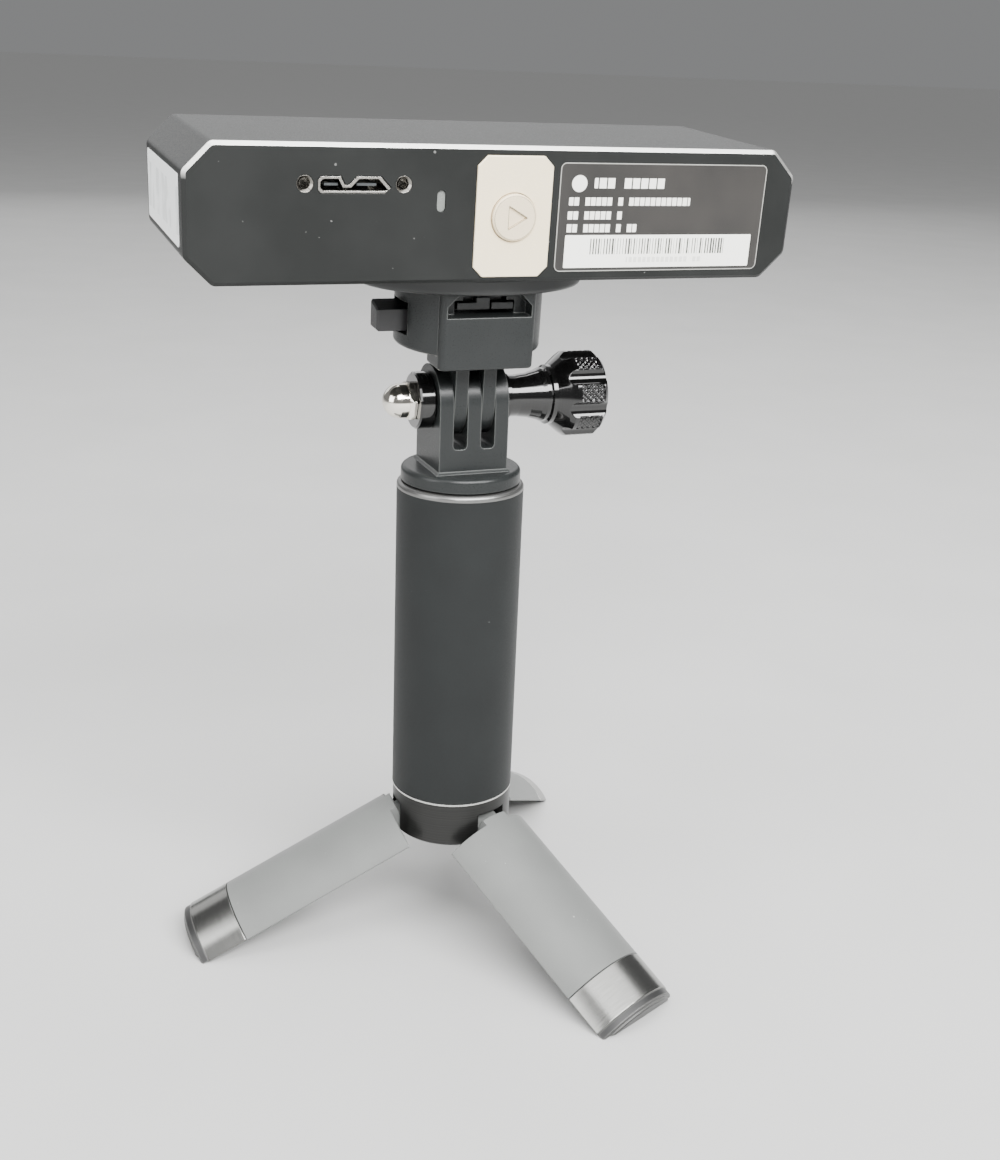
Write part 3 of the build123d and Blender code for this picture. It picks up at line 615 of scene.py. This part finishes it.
# ---- knurled knob: sizes in millimetres, radii and X from the clamp's axis and middle -----------
KNOB_R = 9.0
KNOB_BORE = (2.46, 22.05)
KNOB_OUTLINE = [(2.46, 8.0), (5.0, 8.0), (5.0, 9.3), (4.45, 9.5), (4.4, 11.5), (4.7, 14.0),
                (5.3, 16.3), (5.7, 17.2), (5.7, 18.0), (6.3, 18.3), (6.3, 19.2), (8.3, 21.6),
                (KNOB_R, 22.6), (KNOB_R, 28.9), (8.2, 29.7), (6.2, 29.7), (5.6, 28.9)]
KNOB_STEP = 0.12
KNOB_SPOKES = 512
KNOB_LOBES = 8
KNOB_PHASE = math.radians(15.0)
GROOVE_R = 2.15
GROOVE_AT = 10.1                    # the grooves' centres, from the axis
GROOVES_FROM = 19.0
KNURL_X = (23.5, 28.6)
KNURL_PITCH = 1.25
KNURL_DEPTH = 0.32
KNURL_FLANK = 0.36                  # half width of a cut, as a share of the pitch
SMOOTH_BELOW = math.radians(32)     # edges sharper than this are shown as edges


def groove_radius(angle):
    """How far out the knob's skin may be at this angle, given the grooves between lobes."""
    share = 2 * math.pi / KNOB_LOBES
    away = abs((angle - KNOB_PHASE) % share - share / 2)
    across = GROOVE_AT * math.sin(away)
    if across >= GROOVE_R:
        return KNOB_R
    return GROOVE_AT * math.cos(away) - math.sqrt(GROOVE_R ** 2 - across ** 2)


def knurl_depth(x, angle, radius):
    """Depth of the crossed V-cuts on the lobes' outer faces."""
    if radius < KNOB_R - 0.01 or not KNURL_X[0] < x < KNURL_X[1]:
        return 0.0
    around = KNOB_R * angle
    nearest = 0.5
    for direction in (-1, 1):
        lines = (around + direction * x) / KNURL_PITCH
        nearest = min(nearest, abs(lines - round(lines)))
    return KNURL_DEPTH * max(0.0, 1 - nearest / KNURL_FLANK)


def stepped(outline, step):
    """The outline with points added along it, no further apart than the step."""
    points = [outline[0]]
    for (r0, x0), (r1, x1) in zip(outline, outline[1:]):
        count = max(1, math.ceil(math.hypot(r1 - r0, x1 - x0) / step))
        for i in range(1, count + 1):
            points.append((r0 + (r1 - r0) * i / count, x0 + (x1 - x0) * i / count))
    return points


def skin(mesh, rings):
    """Joins rings of points into a closed surface, with a face over each end."""
    for first, second in zip(rings, rings[1:]):
        for i in range(len(first)):
            after = (i + 1) % len(first)
            mesh.faces.new((first[i], first[after], second[after], second[i]))
    for ring in (rings[0], rings[-1]):
        mesh.faces.new(ring)
    bmesh.ops.recalc_face_normals(mesh, faces=mesh.faces)


def link(name, data):
    """A new object in the scene."""
    thing = bpy.data.objects.new(name, data)
    bpy.context.scene.collection.objects.link(thing)
    return thing


def stand_in(name, mesh, replaced, body):
    """Turns a finished mesh into the piece shown in place of one of the part's nodes."""
    data = bpy.data.meshes.new(name)
    mesh.to_mesh(data)
    mesh.free()
    data.shade_smooth()
    data.set_sharp_from_angle(angle=SMOOTH_BELOW)
    data.materials.append(nodes[replaced].data.materials[0])
    piece = link(name, data)
    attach(piece, body)
    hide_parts(replaced)
    return piece


def add_knob():
    """The clamp's knob, with diamond knurling on its lobes and smooth grooves between them."""
    mesh = bmesh.new()
    rings = []
    for radius, x in [KNOB_BORE] + stepped(KNOB_OUTLINE, KNOB_STEP):
        ring = []
        for spoke in range(KNOB_SPOKES):
            angle = 2 * math.pi * spoke / KNOB_SPOKES
            reach = min(radius, groove_radius(angle)) if x > GROOVES_FROM else radius
            reach -= knurl_depth(x, angle, reach)
            place = Vector((x, -reach * math.cos(angle), reach * math.sin(angle))) * MM
            ring.append(mesh.verts.new(HEAD @ place))
        rings.append(ring)
    skin(mesh, rings)
    stand_in("knurled_knob", mesh, "clamp_knob", "clamp")


# ---- latch spring: sizes in millimetres, from the tilt pivot --------------------------------
SPRING_ENDS = (8.65, 13.5)          # along the head's X
SPRING_Z = 17.3
SPRING_R = 1.1
SPRING_WIRE = 0.16                  # radius of the wire
SPRING_PITCH = 0.95
STEPS_PER_TURN = 24
WIRE_SIDES = 10


def add_spring():
    """The latch's coil spring, built at one fixed length."""
    length = SPRING_ENDS[1] - SPRING_ENDS[0] - 2 * SPRING_WIRE
    steps = math.ceil(STEPS_PER_TURN * length / SPRING_PITCH)
    mesh = bmesh.new()
    rings = []
    for step in range(steps + 1):
        along = length * step / steps
        turn = 2 * math.pi * along / SPRING_PITCH
        outward = Vector((0, math.cos(turn), math.sin(turn)))
        centre = Vector((SPRING_ENDS[0] + SPRING_WIRE + along, 0, SPRING_Z)) + SPRING_R * outward
        ring = []
        for corner in range(WIRE_SIDES):
            angle = 2 * math.pi * corner / WIRE_SIDES
            offset = outward * math.cos(angle) + Vector((math.sin(angle), 0, 0))
            ring.append(mesh.verts.new(HEAD @ ((centre + SPRING_WIRE * offset) * MM)))
        rings.append(ring)
    skin(mesh, rings)
    spring = stand_in("coil_spring", mesh, "release_spring", "quick_release")
    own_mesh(spring)


add_knob()
add_spring()


# ---- studio: metres, degrees and watts ------------------------------------------------------
CAMERA_PLACE = (-0.10260, -0.27806, 0.18897)
CAMERA_YAW, CAMERA_PITCH, CAMERA_ROLL = -21.92, -19.68, -2.30
CAMERA_LENS = 44.99                 # focal length in millimetres, for a sensor 36 mm high
FLOOR_SIZE = 60.0
WORLD_STRENGTH = 0.26
# each softbox: name, place, what it is aimed at, width and height, power
SOFTBOXES = [
    ("overhead", (0.10, -0.05, 1.00), (0.05, -0.02, 0.0), (1.7, 1.0), 20.0),
    ("key", (0.10, -0.85, 0.80), (0, 0, 0.12), (1.3, 0.45), 50.0),
    ("back_soft", (0.10, 1.60, 0.70), (0, 0, 0.15), (2.2, 0.8), 7.0),
    ("left_soft", (-0.80, -0.20, 0.45), (0, 0, 0.09), (0.5, 0.7), 6.5),
]


def add_camera():
    """The photograph's viewpoint: close, from behind and a little to the left, looking down."""
    turn = (Matrix.Rotation(math.radians(CAMERA_YAW), 4, "Z")
            @ Matrix.Rotation(math.radians(CAMERA_PITCH), 4, "X")
            @ Matrix.Rotation(math.radians(CAMERA_ROLL), 4, "Y"))
    data = bpy.data.cameras.new("camera")
    data.sensor_fit = "VERTICAL"
    data.sensor_height = 36.0
    data.lens = CAMERA_LENS
    data.clip_start = 0.01
    camera = link("camera", data)
    camera.matrix_world = (Matrix.Translation(CAMERA_PLACE) @ turn
                           @ Matrix.Rotation(math.radians(90), 4, "X"))
    bpy.context.scene.camera = camera


def add_floor():
    """Pale paper, wide enough to fill the view."""
    bpy.ops.mesh.primitive_plane_add(size=FLOOR_SIZE, location=(0, 0, 0))
    floor = bpy.context.object
    floor.name = "floor"
    p = Paint("floor_paper", Specular_IOR_Level=0.2, Roughness=0.85)
    p.set("Base Color", p.shades(p.noise(60.0, 3.0), (0.43, 0.43, 0.425), (0.45, 0.45, 0.445)))
    floor.data.materials.append(p.material)


def add_world():
    """Even, faintly cool light from every side."""
    world = bpy.data.worlds.new("studio")
    bpy.context.scene.world = world
    world.use_nodes = True
    background = world.node_tree.nodes["Background"]
    background.inputs["Color"].default_value = (0.88, 0.89, 0.90, 1)
    background.inputs["Strength"].default_value = WORLD_STRENGTH


def add_softbox(name, place, target, size, watts):
    data = bpy.data.lights.new(name, "AREA")
    data.shape = "RECTANGLE"
    data.size, data.size_y = size
    data.energy = watts
    light = link(name, data)
    light.location = place
    aim = Vector(target) - Vector(place)
    light.rotation_euler = aim.to_track_quat("-Z", "Y").to_euler()


def add_sky_glow():
    """A very soft sun straight above, so the floor stays even as far as it can be seen."""
    data = bpy.data.lights.new("sky_glow", "SUN")
    data.energy = 0.8
    data.angle = math.radians(75)
    link("sky_glow", data)


add_camera()
add_floor()
add_world()
for softbox in SOFTBOXES:
    add_softbox(*softbox)
add_sky_glow()
